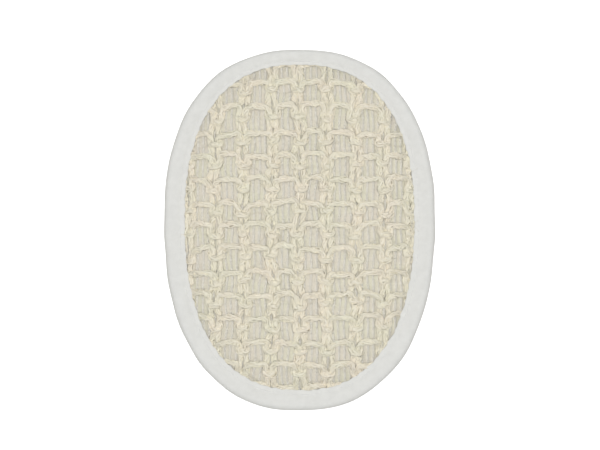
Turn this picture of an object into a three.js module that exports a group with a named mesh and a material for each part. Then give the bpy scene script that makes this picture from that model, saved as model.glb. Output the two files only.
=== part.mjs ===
// An oval bath scrub pad: a coarse knitted sisal face over a ribbed cotton lining,
// a thin foam core, a towelling back, and a folded fabric binding sewn round the rim.
// Millimetres, +Z up. The pad lies on its back with the knit face up and the narrower
// end of the oval toward -Y. The origin is the middle of the box it fills, on the table.

import * as THREE from 'three';

// Outline: two half superellipses that meet on the widest line.
const PAD_WIDTH = 112.5;
const PAD_LENGTH = 150;
const HALF_WIDTH = PAD_WIDTH / 2;
const WIDEST_Y = 4.2;
const FRONT_REACH = PAD_LENGTH / 2 - WIDEST_Y;
const REAR_REACH = PAD_LENGTH / 2 + WIDEST_Y;
const SQUARENESS = 2.33;
const STEPS_AROUND = 44;

// Binding: how far its folded tape reaches in from the rim, and the stitches that hold it.
const BAND_WIDTH = 8.5;
const BAND_NARROWING_AT_TOP = 2.2;
const TAPE_THICKNESS = 0.9;
const BAND_UNDERSIDE = 1.0;
const BAND_TOP_AT_SEAM = 7.1;
const BAND_TOP_AT_FOLD = 6.9;
const FOLD_DEPTH = 2.4;
const THREAD_WIDTH = 0.5;
const THREAD_HEIGHT = 0.4;
const THREAD_FROM_EDGE = 1.6;
const CLEARANCE = 0.3;
const THREAD_CLEARANCE = 0.15;

// Layers: heights in the flat middle of the pad and where they are pinched by the binding.
const CLOTH_END_INSET = 3.4;
const BACK_UNDERSIDE_AT_RIM = BAND_UNDERSIDE + TAPE_THICKNESS + CLEARANCE;
const BACK_THICKNESS_AT_RIM = 0.8;
const BACK_THICKNESS = 1.6;
const BACK_SETTLING_LENGTH = 6;
const LINING_THICKNESS = 0.7;
const LINING_UNDERSIDE_AT_RIM = BACK_UNDERSIDE_AT_RIM + BACK_THICKNESS_AT_RIM + CLEARANCE;
const LINING_UNDERSIDE = 8.3;
const DOME_LENGTH = 26;
const DOME_FULLNESS = 2.5;
const DOME_RING_DISTANCES = [3, 8, 18];
const MIDDLE_RINGS = [0];

// Knit: one length of sisal yarn to each course, seen from the purl side.
const WALE_PITCH = 11.6;
const COURSE_PITCH = 9.65;
const COURSE_COUNT = 15;
const TOP_COURSE_Y = 64.3;
const LOOP_HALF_HEIGHT = 6.6;
const SIDEWAYS_WAVES = [-1.16, 2.32, 0.07, 0.16];
const UPRIGHT_WAVES = [-1.09, 0, 0.09];
const WEAVE_WAVES = [-0.3, 1.47, 0.14];
const WEAVE_DEPTH = 1.47;
const YARN_WIDTH = 1.45;
const YARN_THICKNESS = 0.95;
const PINCH_AT_RIM = 0.3;
const PINCH_LENGTH = 6;
const YARN_END_INSET = 4.4;
const YARN_STEP = 3.1;
const SHORTEST_RUN = 0.4;
const RUN_SAMPLING = 0.02;

const TWO_PI = Math.PI * 2;

const fabricWhite = new THREE.MeshStandardMaterial({ color: 0xdddcd8, roughness: 0.95, metalness: 0 });
const threadWhite = new THREE.MeshStandardMaterial({ color: 0xe6e4de, roughness: 0.8, metalness: 0 });
const liningCotton = new THREE.MeshStandardMaterial({ color: 0xd0c9b9, roughness: 0.95, metalness: 0 });
const paleFoam = new THREE.MeshStandardMaterial({ color: 0xe9e2c8, roughness: 0.9, metalness: 0 });
const towelling = new THREE.MeshStandardMaterial({ color: 0xe2ddcf, roughness: 1, metalness: 0 });
const sisalYarn = new THREE.MeshStandardMaterial({ color: 0xe0d8c0, roughness: 0.85, metalness: 0 });

// The oval ---------------------------------------------------------------------------

// Reach of the half superellipse that y lies in.
function reachAt(y) {
  return y > WIDEST_Y ? FRONT_REACH : REAR_REACH;
}

// Gauge of the oval: 0 at its middle, 1 on the rim, growing evenly along every ray.
function gauge(x, y) {
  const across = (Math.abs(x) / HALF_WIDTH) ** SQUARENESS;
  const along = (Math.abs(y - WIDEST_Y) / reachAt(y)) ** SQUARENESS;
  return (across + along) ** (1 / SQUARENESS);
}

// Gradient of the gauge, which points straight out through the rim.
function gaugeSlope(x, y) {
  const level = gauge(x, y) ** (1 - SQUARENESS);
  const across = (Math.abs(x) / HALF_WIDTH) ** (SQUARENESS - 1) / HALF_WIDTH;
  const along = (Math.abs(y - WIDEST_Y) / reachAt(y)) ** (SQUARENESS - 1) / reachAt(y);
  return new THREE.Vector2(across * Math.sign(x) * level, along * Math.sign(y - WIDEST_Y) * level);
}

// Distance from a point of the pad to its rim.
function insetOf(x, y) {
  const level = gauge(x, y);
  if (level < 0.01) return HALF_WIDTH;
  return (1 - level) / gaugeSlope(x, y).length();
}

// Point at an angle round the middle, moved straight in from the rim.
function rimPoint(angle, inset) {
  const x = Math.cos(angle);
  const y = Math.sin(angle);
  const radius = 1 / gauge(x, y + WIDEST_Y);
  const point = new THREE.Vector2(x * radius, y * radius + WIDEST_Y);
  const outward = gaugeSlope(point.x, point.y).normalize();
  return point.addScaledVector(outward, -inset);
}

// Width of the binding, which narrows toward the broad end of the oval.
function bandWidthToward(x, y) {
  const toward = new THREE.Vector2(x, y - WIDEST_Y).normalize();
  return BAND_WIDTH - BAND_NARROWING_AT_TOP * Math.max(0, toward.y) ** 3;
}

// Distance from a point to the inner edge of the binding, negative under it.
function distanceFromBand(x, y) {
  return insetOf(x, y) - bandWidthToward(x, y);
}

// 0 at the binding's edge and 1 past a length, leaving the edge steeply.
function swell(distance, length, fullness) {
  const share = THREE.MathUtils.clamp(distance / length, 0, 1);
  return 1 - (1 - share) ** fullness;
}

// Layer heights ----------------------------------------------------------------------

function backUnderside(x, y) {
  const drop = swell(distanceFromBand(x, y), BACK_SETTLING_LENGTH, 2);
  return BACK_UNDERSIDE_AT_RIM * (1 - drop);
}

function backTop(x, y) {
  const drop = swell(distanceFromBand(x, y), BACK_SETTLING_LENGTH, 2);
  const thickness = THREE.MathUtils.lerp(BACK_THICKNESS_AT_RIM, BACK_THICKNESS, drop);
  return backUnderside(x, y) + thickness;
}

function liningUnderside(x, y) {
  const rise = swell(distanceFromBand(x, y), DOME_LENGTH, DOME_FULLNESS);
  return THREE.MathUtils.lerp(LINING_UNDERSIDE_AT_RIM, LINING_UNDERSIDE, rise);
}

function liningTop(x, y) {
  return liningUnderside(x, y) + LINING_THICKNESS;
}

// Share of its full height that the knit keeps, down to a flat pinch under the binding.
function knitLoft(x, y) {
  const share = THREE.MathUtils.smoothstep(distanceFromBand(x, y), -1, PINCH_LENGTH);
  return THREE.MathUtils.lerp(PINCH_AT_RIM, 1, share);
}

// Middle level of the knit over the lining.
function knitLevel(x, y) {
  const depth = WEAVE_DEPTH + YARN_THICKNESS / 2;
  return liningTop(x, y) + CLEARANCE + depth * knitLoft(x, y);
}

// Turned solids ----------------------------------------------------------------------

// A profile turned once round, then every point of it moved to its place on the oval.
function turnedSolid(profile, placeOf) {
  const blank = new THREE.LatheGeometry(profile, STEPS_AROUND);
  const corners = blank.attributes.position;
  for (let column = 0; column <= STEPS_AROUND; column += 1) {
    const angle = (TWO_PI * (column % STEPS_AROUND)) / STEPS_AROUND;
    profile.forEach((spot, row) => {
      const place = placeOf(spot, angle);
      corners.setXYZ(column * profile.length + row, place.x, place.y, place.z);
    });
  }
  blank.computeVertexNormals();
  return blank;
}

// A sheet or a filling: rings from its middle out along the underside, and back on top.
// The outer rings follow the rim at a distance, and the inner ones shrink to the middle.
function layer(ringInsets, undersideAt, topAt) {
  const ringCount = ringInsets.length + MIDDLE_RINGS.length;
  const ringNumbers = Array.from({ length: ringCount }, (_, ring) => ringCount - 1 - ring);
  const underside = ringNumbers.map((ring) => new THREE.Vector2(ringCount - 1 - ring, 0));
  const top = ringNumbers.map((ring) => new THREE.Vector2(ringCount - 1 - ring, 1)).reverse();
  return turnedSolid([...underside, ...top], (spot, angle) => {
    const place = ringPlace(ringInsets, ringCount - 1 - spot.x, angle);
    const z = spot.y === 0 ? undersideAt(place.x, place.y) : topAt(place.x, place.y);
    return new THREE.Vector3(place.x, place.y, z);
  });
}

// Point of a layer's ring, counted inward from 0 at the layer's own edge.
function ringPlace(ringInsets, ring, angle) {
  const rim = rimPoint(angle, 0);
  const bandWidth = bandWidthToward(rim.x, rim.y);
  const outer = Math.min(ring, ringInsets.length - 1);
  const place = rimPoint(angle, ringInsets[outer](bandWidth));
  const share = ring > outer ? MIDDLE_RINGS[ring - ringInsets.length] : 1;
  return new THREE.Vector2(place.x * share, WIDEST_Y + (place.y - WIDEST_Y) * share);
}

// A ring on the rim: its section is drawn for the full band, and narrows with the band.
function rimRing(section) {
  const closed = [...section, section[0]];
  return turnedSolid(closed, (spot, angle) => {
    const edge = rimPoint(angle, 0);
    const narrowing = bandWidthToward(edge.x, edge.y) / BAND_WIDTH;
    const place = rimPoint(angle, spot.x * narrowing);
    return new THREE.Vector3(place.x, place.y, spot.y);
  });
}

const domeRings = DOME_RING_DISTANCES.map((distance) => (bandWidth) => bandWidth + distance);
const tuckedRings = [() => CLOTH_END_INSET, (bandWidth) => bandWidth];

function sheet(undersideAt, topAt) {
  return layer([...tuckedRings, ...domeRings], undersideAt, topAt);
}

function foamCoreGeometry() {
  const underside = (x, y) => backTop(x, y) + CLEARANCE;
  const top = (x, y) => liningUnderside(x, y) - CLEARANCE;
  return layer(domeRings, underside, top);
}

// Tape folded round the rim: the outside from under to over, then the inside back again.
function bindingGeometry() {
  const foldMiddle = (BAND_UNDERSIDE + BAND_TOP_AT_FOLD) / 2;
  const shoulder = FOLD_DEPTH * 0.3;
  const inside = TAPE_THICKNESS;
  return rimRing([
    new THREE.Vector2(BAND_WIDTH, BAND_UNDERSIDE),
    new THREE.Vector2(FOLD_DEPTH, BAND_UNDERSIDE),
    new THREE.Vector2(shoulder, BAND_UNDERSIDE + shoulder),
    new THREE.Vector2(0, foldMiddle),
    new THREE.Vector2(shoulder, BAND_TOP_AT_FOLD - shoulder),
    new THREE.Vector2(FOLD_DEPTH, BAND_TOP_AT_FOLD),
    new THREE.Vector2(BAND_WIDTH, BAND_TOP_AT_SEAM),
    new THREE.Vector2(BAND_WIDTH, BAND_TOP_AT_SEAM - inside),
    new THREE.Vector2(FOLD_DEPTH, BAND_TOP_AT_FOLD - inside),
    new THREE.Vector2(inside + 0.2, foldMiddle),
    new THREE.Vector2(FOLD_DEPTH, BAND_UNDERSIDE + inside),
    new THREE.Vector2(BAND_WIDTH, BAND_UNDERSIDE + inside),
  ]);
}

// One line of sewing thread, as a slim ring with a three-sided section.
function seamThreadGeometry(restingHeight, away) {
  const middle = BAND_WIDTH - THREAD_FROM_EDGE;
  const near = restingHeight + away * THREAD_CLEARANCE;
  const far = near + away * THREAD_HEIGHT;
  const section = [
    new THREE.Vector2(middle + THREAD_WIDTH / 2, near),
    new THREE.Vector2(middle - THREAD_WIDTH / 2, near),
    new THREE.Vector2(middle, far),
  ];
  return rimRing(away > 0 ? section : section.reverse());
}

// Knit -------------------------------------------------------------------------------

// Sum of cosine waves, the first with one wave to a loop, the next with two, and so on.
function cosineWaves(weights, turn) {
  return weights.reduce((sum, weight, wave) => sum + weight * Math.cos((wave + 1) * turn), 0);
}

function sineWaves(weights, turn) {
  return weights.reduce((sum, weight, wave) => sum + weight * Math.sin((wave + 1) * turn), 0);
}

// Place of a course's yarn after a number of loops from the middle of the pad. Each loop
// hangs from a narrow bend, climbs beside its neighbour and closes in a wide arch.
function yarnPlace(course, loops) {
  const turn = TWO_PI * loops;
  const x = WALE_PITCH * loops + sineWaves(SIDEWAYS_WAVES, turn);
  const y = TOP_COURSE_Y - COURSE_PITCH * course + LOOP_HALF_HEIGHT * cosineWaves(UPRIGHT_WAVES, turn);
  const weave = cosineWaves(WEAVE_WAVES, turn);
  return new THREE.Vector3(x, y, knitLevel(x, y) + weave * knitLoft(x, y));
}

// The yarn of one run of a course, with a section that stays level across the surface.
class CourseYarn extends THREE.Curve {
  constructor(course, start, end) {
    super();
    this.course = course;
    this.start = start;
    this.end = end;
    this.arcLengthDivisions = Math.ceil((end - start) * 60);
  }

  getPoint(share, target = new THREE.Vector3()) {
    const loops = THREE.MathUtils.lerp(this.start, this.end, share);
    return target.copy(yarnPlace(this.course, loops));
  }

  // Across the yarn: level with the cloth under it. Up from it: thinner where it is pinched.
  computeFrenetFrames(segments) {
    const tangents = [];
    const normals = [];
    const binormals = [];
    const reach = YARN_WIDTH / 2;
    for (let i = 0; i <= segments; i += 1) {
      const place = this.getPointAt(i / segments);
      const tangent = this.getTangentAt(i / segments);
      const across = new THREE.Vector3(-tangent.y, tangent.x, 0).normalize();
      const left = place.clone().addScaledVector(across, reach);
      const right = place.clone().addScaledVector(across, -reach);
      across.z = (knitLevel(left.x, left.y) - knitLevel(right.x, right.y)) / YARN_WIDTH;
      tangents.push(tangent);
      normals.push(across);
      binormals.push(new THREE.Vector3(0, 0, knitLoft(place.x, place.y)));
    }
    return { tangents, normals, binormals };
  }
}

// Stretches of a course that lie inside the binding, as [start, end] counted in loops.
function runsOf(course) {
  const farthest = Math.ceil(HALF_WIDTH / WALE_PITCH);
  const runs = [];
  let start = null;
  for (let loops = -farthest; loops <= farthest; loops += RUN_SAMPLING) {
    const place = yarnPlace(course, loops);
    const inside = gauge(place.x, place.y) < 1 && insetOf(place.x, place.y) > YARN_END_INSET;
    if (inside && start === null) start = loops;
    if (!inside && start !== null) {
      if (loops - start > SHORTEST_RUN) runs.push([start, loops - RUN_SAMPLING]);
      start = null;
    }
  }
  return runs;
}

// Flat beneath and ridged on top.
function yarnSection() {
  return new THREE.Shape([
    new THREE.Vector2(YARN_WIDTH / 2, -YARN_THICKNESS / 3),
    new THREE.Vector2(0, (YARN_THICKNESS * 2) / 3),
    new THREE.Vector2(-YARN_WIDTH / 2, -YARN_THICKNESS / 3),
  ]);
}

function yarnGeometry(course, start, end) {
  const path = new CourseYarn(course, start, end);
  const steps = Math.round(path.getLength() / YARN_STEP);
  return new THREE.ExtrudeGeometry(yarnSection(), { steps, extrudePath: path, bevelEnabled: false });
}

// Assembly ---------------------------------------------------------------------------

function piece(name, geometry, material) {
  const mesh = new THREE.Mesh(geometry, material);
  mesh.name = name;
  return mesh;
}

function knitFace() {
  const face = new THREE.Group();
  for (let course = 0; course < COURSE_COUNT; course += 1) {
    const runs = runsOf(course);
    const name = `knit_course_${String(course + 1).padStart(2, '0')}`;
    runs.forEach(([start, end], place) => {
      const suffix = runs.length > 1 ? `_length_${place + 1}` : '';
      face.add(piece(name + suffix, yarnGeometry(course, start, end), sisalYarn));
    });
  }
  return face;
}

const scrubPad = new THREE.Group();
scrubPad.add(piece('back_cloth', sheet(backUnderside, backTop), towelling));
scrubPad.add(piece('foam_core', foamCoreGeometry(), paleFoam));
scrubPad.add(piece('lining_cloth', sheet(liningUnderside, liningTop), liningCotton));
scrubPad.add(knitFace());
scrubPad.add(piece('edge_binding', bindingGeometry(), fabricWhite));
const seamInset = (BAND_WIDTH - THREAD_FROM_EDGE - FOLD_DEPTH) / (BAND_WIDTH - FOLD_DEPTH);
const seamHeight = THREE.MathUtils.lerp(BAND_TOP_AT_FOLD, BAND_TOP_AT_SEAM, seamInset);
scrubPad.add(piece('seam_thread_front', seamThreadGeometry(seamHeight, 1), threadWhite));
scrubPad.add(piece('seam_thread_back', seamThreadGeometry(BAND_UNDERSIDE, -1), threadWhite));

export default scrubPad;
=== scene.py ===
# %% [markdown]
# # A sisal bath scrub pad, made piece by piece
#
# The pad is an oval sandwich. From the table up it has a towelling back, a thin foam
# core, a ribbed cotton lining and an open face knitted from thick sisal yarn. A strip of
# white fabric is folded round the rim and sewn through everything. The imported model
# gives the size and the place of each layer, and this lesson makes the pieces that are
# seen: real loops of yarn, real ribs, real stitches.

import bpy
import numpy as np
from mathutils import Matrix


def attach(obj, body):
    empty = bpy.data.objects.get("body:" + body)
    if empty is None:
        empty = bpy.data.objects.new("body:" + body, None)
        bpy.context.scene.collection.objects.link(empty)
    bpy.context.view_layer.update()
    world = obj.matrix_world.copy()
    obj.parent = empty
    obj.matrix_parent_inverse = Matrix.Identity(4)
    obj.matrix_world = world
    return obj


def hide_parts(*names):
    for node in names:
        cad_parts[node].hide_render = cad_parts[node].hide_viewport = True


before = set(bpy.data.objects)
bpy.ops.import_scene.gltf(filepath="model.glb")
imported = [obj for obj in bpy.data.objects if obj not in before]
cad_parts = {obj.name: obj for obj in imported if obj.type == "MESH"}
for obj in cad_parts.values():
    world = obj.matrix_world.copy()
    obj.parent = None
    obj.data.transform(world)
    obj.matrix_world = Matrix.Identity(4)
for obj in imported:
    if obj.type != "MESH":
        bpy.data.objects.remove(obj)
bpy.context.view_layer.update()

# %% [markdown]
# ## Camera, light and floor
#
# The pad lies flat and is looked at straight from above, so the camera stands a metre
# over it with a long lens: a short lens would come closer and make the rim lean. A new
# camera already looks straight down, so it only needs a place.

# %% Camera
MM = 0.001
CAMERA_LENS, CAMERA_SENSOR = 144, 36
CAMERA_PLACE = (0.21 * MM, 2.08 * MM, 1.004)

camera_data = bpy.data.cameras.new("camera_above")
camera_data.lens = CAMERA_LENS
camera_data.sensor_width = CAMERA_SENSOR
camera_data.clip_start, camera_data.clip_end = 0.01, 50
camera_above = bpy.data.objects.new("camera_above", camera_data)
camera_above.location = CAMERA_PLACE
bpy.context.scene.collection.objects.link(camera_above)
bpy.context.scene.camera = camera_above
print("camera sees a width of", round(CAMERA_SENSOR / CAMERA_LENS, 3), "m")

# %% [markdown]
# One small soft lamp hangs high over the pad. From there it shines into the hollows of
# the knit, so that they stay as pale as undyed fibre is, and only a thin shade is left
# beside each bar of yarn. A lamp from the side would throw a hard shadow under every
# bar. An even sky fills in the rest.

# %% Light and sky
SKY_STRENGTH = 0.22
LAMP_PLACE, LAMP_WIDTH, LAMP_WATTS = (-0.01, 0.03, 1.6), 0.2, 17.8

scene = bpy.context.scene
scene.view_settings.view_transform = "Standard"
scene.view_settings.look = "None"
sky = bpy.data.worlds.new("studio_sky")
sky.use_nodes = True
sky_light = sky.node_tree.nodes["Background"].inputs
sky_light["Color"].default_value = (1.0, 1.0, 1.0, 1)
sky_light["Strength"].default_value = SKY_STRENGTH
scene.world = sky


def studio_lamp(name, place, width, watts):
    """A square lamp of a width, turned so that it shines at the middle of the pad."""
    data = bpy.data.lights.new(name, "AREA")
    data.shape = "SQUARE"
    data.size = width
    data.energy = watts
    lamp = bpy.data.objects.new(name, data)
    lamp.location = place
    toward = -lamp.location.normalized()
    lamp.rotation_euler = toward.to_track_quat("-Z", "Y").to_euler()
    scene.collection.objects.link(lamp)
    return lamp


studio_lamp("lamp_overhead", LAMP_PLACE, LAMP_WIDTH, LAMP_WATTS)

# %% [markdown]
# The floor is one large sheet of pale paper, just under the pad. It also glows a little,
# as a lit studio table does, so that the pad throws almost no shadow on it.

# %% Floor
FLOOR_HALF, FLOOR_DEPTH = 3.0, -0.0004
PAPER_SHADE, PAPER_ROUGHNESS, PAPER_GLOW = 0.8, 0.9, 0.50

floor_mesh = bpy.data.meshes.new("floor")
corner_ways = [(-1, -1), (1, -1), (1, 1), (-1, 1)]
floor_corners = [(x * FLOOR_HALF, y * FLOOR_HALF, FLOOR_DEPTH) for x, y in corner_ways]
floor_mesh.from_pydata(floor_corners, [], [(0, 1, 2, 3)])
floor = bpy.data.objects.new("floor", floor_mesh)
scene.collection.objects.link(floor)
floor_paper = bpy.data.materials.new("floor_paper")
floor_paper.use_nodes = True
paper = floor_paper.node_tree.nodes["Principled BSDF"].inputs
paper["Base Color"].default_value = (PAPER_SHADE, PAPER_SHADE, PAPER_SHADE, 1)
paper["Roughness"].default_value = PAPER_ROUGHNESS
paper["Emission Color"].default_value = (1, 1, 1, 1)
paper["Emission Strength"].default_value = PAPER_GLOW
floor_mesh.materials.append(floor_paper)
print("floor side in metres:", 2 * FLOOR_HALF)

# %% [markdown]
# ## The oval and the heights of its layers
#
# Everything follows one outline, two half superellipses that meet on the widest line,
# and one measure, the distance from the inner edge of the binding. These are the same
# formulas as the frame's own, in millimetres, written for whole arrays of points.

# %% The oval
HALF_WIDTH, WIDEST_Y, FRONT_REACH, REAR_REACH = 56.25, 4.2, 70.8, 79.2
SQUARENESS = 2.33
BAND_WIDTH, BAND_NARROWING_AT_TOP = 8.5, 2.2
TINY, NEAR_MIDDLE = 1e-9, 0.01
TURN = 2 * np.pi


def gauge(x, y):
    """0 in the middle, 1 on the rim: x and y over their reach, to a power, summed, rooted."""
    reach = np.where(y > WIDEST_Y, FRONT_REACH, REAR_REACH)
    across = (np.abs(x) / HALF_WIDTH) ** SQUARENESS
    along = (np.abs(y - WIDEST_Y) / reach) ** SQUARENESS
    return (across + along) ** (1 / SQUARENESS)


def outward_slope(x, y):
    """The gauge's gradient, which points straight out through the rim."""
    reach = np.where(y > WIDEST_Y, FRONT_REACH, REAR_REACH)
    level = np.maximum(gauge(x, y), TINY) ** (1 - SQUARENESS)
    across = (np.abs(x) / HALF_WIDTH) ** (SQUARENESS - 1) / HALF_WIDTH * np.sign(x)
    along = (np.abs(y - WIDEST_Y) / reach) ** (SQUARENESS - 1) / reach * np.sign(y - WIDEST_Y)
    return across * level, along * level


def inset_of(x, y):
    """Distance in from the rim: what the gauge lacks to 1, over the gauge's steepness."""
    steep = np.hypot(*outward_slope(x, y))
    inset = (1 - gauge(x, y)) / np.maximum(steep, TINY)
    return np.where(gauge(x, y) < NEAR_MIDDLE, HALF_WIDTH, inset)


def rim_point(angle, inset):
    """The rim at an angle round the widest line's middle, moved straight in by an inset."""
    x, y = np.cos(angle), np.sin(angle)
    radius = 1 / gauge(x, y + WIDEST_Y)
    x, y = x * radius, y * radius + WIDEST_Y
    out_x, out_y = outward_slope(x, y)
    steep = np.hypot(out_x, out_y)
    return x - out_x / steep * inset, y - out_y / steep * inset


def band_width_toward(x, y):
    """The binding's width, less toward the broad end by the cube of the direction's y."""
    toward = (y - WIDEST_Y) / np.maximum(np.hypot(x, y - WIDEST_Y), TINY)
    return BAND_WIDTH - BAND_NARROWING_AT_TOP * np.maximum(toward, 0) ** 3


def from_band(x, y):
    """Distance in from the inner edge of the binding, negative under it."""
    return inset_of(x, y) - band_width_toward(x, y)


print("rim at the side and at the broad end, mm:", rim_point(np.array([0.0, np.pi / 2]), 0))

# %% [markdown]
# Each layer's height is a level at the binding plus a share of a rise. The rise is
# steep beside the binding and flattens towards the middle, as a stuffed pad does, and
# one swelling curve with a length and a fullness gives it for every layer.

# %% The heights of the layers
BACK_RISE, BACK_RIM_THICK, BACK_THICK, BACK_SETTLES = 2.2, 0.8, 1.6, 6
LINING_RIM, LINING_MIDDLE, LINING_THICK = 3.3, 8.3, 0.7
DOME_LENGTH, DOME_FULLNESS = 26, 2.5
PINCH_AT_RIM, PINCH_LENGTH = 0.3, 6
WEAVE_DEPTH, CLEARANCE, FRAME_YARN, FLAT_YARN_DROP = 1.47, 0.3, 0.95, 0.7


def swell(distance, length, fullness):
    """0 at the binding and 1 past a length: one less the remaining share to a power."""
    return 1 - (1 - np.clip(distance / length, 0, 1)) ** fullness


def back_underside(x, y):
    """Flat on the table in the middle, and lifted by a rise where it meets the binding."""
    return BACK_RISE * (1 - swell(from_band(x, y), BACK_SETTLES, 2))


def back_top(x, y):
    """The underside plus a thickness that grows from the pressed rim to the full pile."""
    grown = swell(from_band(x, y), BACK_SETTLES, 2)
    return back_underside(x, y) + BACK_RIM_THICK + (BACK_THICK - BACK_RIM_THICK) * grown


def lining_underside(x, y):
    """The dome of the foam: from its rim level to its middle level along the swell."""
    rise = swell(from_band(x, y), DOME_LENGTH, DOME_FULLNESS)
    return LINING_RIM + (LINING_MIDDLE - LINING_RIM) * rise


def knit_loft(x, y):
    """Share of full height that the knit keeps: a smooth step up from the binding."""
    share = np.clip((from_band(x, y) + 1) / (PINCH_LENGTH + 1), 0, 1)
    return PINCH_AT_RIM + (1 - PINCH_AT_RIM) * share * share * (3 - 2 * share)


def knit_level(x, y):
    """Middle height of the knit: the lining's top plus the weave's depth times the loft.

    The ribbons weave less deeply than the frame's yarn, so they lie a little lower.
    """
    rest = lining_underside(x, y) + LINING_THICK + CLEARANCE
    return rest + (WEAVE_DEPTH + FRAME_YARN / 2 - FLAT_YARN_DROP) * knit_loft(x, y)


middle_level = knit_level(np.array(0.0), np.array(WIDEST_Y))
print("knit level in the middle, mm:", round(float(middle_level), 2))

# %% [markdown]
# ## How a grid of points becomes a piece
#
# Each piece below is one or more grids of points worked out with numpy. A grid needs
# its quads, and a long thin strand also needs its two ends closed. The helpers here are
# used by every piece: one numbers the quads, one makes the mesh and hangs it on the
# frame, and one draws strands about many centre lines at once.

# %% Grids, pieces and strands


def grid_quads(rows, columns, wrap):
    """Quads between neighbouring rows and columns of points that are numbered row by row."""
    row = np.arange(rows - 1)[:, None]
    column = np.arange(columns if wrap else columns - 1)[None, :]
    here = row * columns + column
    beside = row * columns + (column + 1) % columns
    return np.stack([here, beside, beside + columns, here + columns], -1).reshape(-1, 4)


def add_piece(name, points, faces, finish, slot, stands_for=(), corner_uv=None):
    """A smooth mesh piece from points in millimetres; it rides on the frame's one body."""
    mesh = bpy.data.meshes.new(name)
    mesh.from_pydata((points * MM).tolist(), [], faces)
    if corner_uv is not None:
        layer = mesh.uv_layers.new(name="along_surface")
        layer.data.foreach_set("uv", np.asarray(corner_uv, np.float32).ravel())
    mesh.polygons.foreach_set("use_smooth", np.ones(len(mesh.polygons), bool))
    mesh.materials.append(finish)
    mesh.update()
    piece = bpy.data.objects.new(name, mesh)
    scene.collection.objects.link(piece)
    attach(piece, "root")
    if stands_for:
        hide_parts(*stands_for)
    counts = f"{len(mesh.vertices)} points, {len(mesh.polygons)} faces"
    print(f"{name}: {counts}, {volume_of(mesh):.0f} mm3")
    return piece


def point_values(piece, name, values):
    """Writes one number for each point of a piece, which its finish reads by name."""
    layer = piece.data.attributes.new(name, "FLOAT", "POINT")
    layer.data.foreach_set("value", values.astype(np.float32))


def volume_of(mesh):
    """Volume in cubic millimetres: a sixth of each triangle's corners' triple product.

    It is positive where the faces point outward.
    """
    mesh.calc_loop_triangles()
    co = np.empty(len(mesh.vertices) * 3)
    mesh.vertices.foreach_get("co", co)
    tri = np.empty(len(mesh.loop_triangles) * 3, np.int32)
    mesh.loop_triangles.foreach_get("vertices", tri)
    a, b, c = (co.reshape(-1, 3) / MM)[tri.reshape(-1, 3)].transpose(1, 0, 2)
    return float((a * np.cross(b, c)).sum() / 6)


def unit(vectors):
    """Vectors over their own lengths."""
    return vectors / np.maximum(np.linalg.norm(vectors, axis=-1, keepdims=True), TINY)


def strand_mesh(lines, half_width, half_thick, flat_way, sides):
    """Strands about many lines, with an oval section.

    A ring is its centre, plus cos times the half width and sin times the half thickness.
    """
    count, steps = lines.shape[:2]
    tangent = unit(np.gradient(lines, axis=1))
    over = unit(np.cross(tangent, flat_way))
    beside = np.cross(over, tangent)
    angle = (np.arange(sides) * TURN / sides)[:, None]
    ring = np.cos(angle) * (half_width[..., None] * beside)[:, :, None]
    ring = ring + np.sin(angle) * (half_thick[..., None] * over)[:, :, None]
    points = lines[:, :, None] + ring
    first = (np.arange(count) * steps * sides)[:, None]
    quads = (first[..., None] + grid_quads(steps, sides, True)[None]).reshape(-1, 4)
    start_cap = first + np.arange(sides)[::-1]
    end_cap = first + (steps - 1) * sides + np.arange(sides)
    return points.reshape(-1, 3), quads.tolist() + start_cap.tolist() + end_cap.tolist()


STRANDS_APART = 3.7


def strand_corners(along, girth, sides):
    """Corner UVs of strands in millimetres: across goes round the strand and up along it.

    Each strand is shifted by a few girths, so that no two show the same streaks. The end
    caps are zero.
    """
    count, steps = along.shape
    round_it = np.arange(sides + 1) * girth / sides
    across = np.stack([round_it[:-1], round_it[1:], round_it[1:], round_it[:-1]], -1)[None, None]
    upward = np.stack([along[:, :-1], along[:, :-1], along[:, 1:], along[:, 1:]], -1)[:, :, None]
    apart = np.arange(count)[:, None, None, None] * STRANDS_APART * girth
    walls = np.stack(np.broadcast_arrays(across + apart, upward), -1).reshape(-1, 2)
    return np.concatenate([walls, np.zeros((2 * count * sides, 2))])


print("quads in a ring of 3 rows by 6 columns:", len(grid_quads(3, 6, True)))

# %% [markdown]
# ## Finishes
#
# The colours are those of undyed fibre and bleached cloth. Yarn streaks follow the
# yarn, so they read a UV map that runs round and along the strand in millimetres. The
# cloths are patterned in Object coordinates, which lie still on a piece that never
# moves. The sheen, gloss and roughness are plain numbers on the shader's own sockets.
# These helpers each add one or two nodes, so that a finish below reads as a recipe.

# %% Helpers for a finish
SHEEN_ROUGHNESS = 0.6


def start_finish(name, roughness, specular, sheen):
    """A new finish with its plain numbers set; gives the finish, its nodes and its shader."""
    finish = bpy.data.materials.new(name)
    finish.use_nodes = True
    shader = finish.node_tree.nodes["Principled BSDF"]
    shader.inputs["Roughness"].default_value = roughness
    shader.inputs["Specular IOR Level"].default_value = specular
    shader.inputs["Sheen Weight"].default_value = sheen
    shader.inputs["Sheen Roughness"].default_value = SHEEN_ROUGHNESS
    return finish, finish.node_tree, shader


def add_node(tree, kind, **inputs):
    """A node of a kind, with the inputs named here set to plain values."""
    node = tree.nodes.new(kind)
    for name, value in inputs.items():
        node.inputs[name.replace("_", " ")].default_value = value
    return node


def scaled_place(tree, scale, uv=False):
    """Object coordinates, or the along_surface UV, times a scale for each axis."""
    if uv:
        source = tree.nodes.new("ShaderNodeUVMap")
        source.uv_map = "along_surface"
        place = source.outputs["UV"]
    else:
        place = tree.nodes.new("ShaderNodeTexCoord").outputs["Object"]
    mapping = add_node(tree, "ShaderNodeMapping", Scale=scale)
    tree.links.new(place, mapping.inputs["Vector"])
    return mapping.outputs["Vector"]


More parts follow.
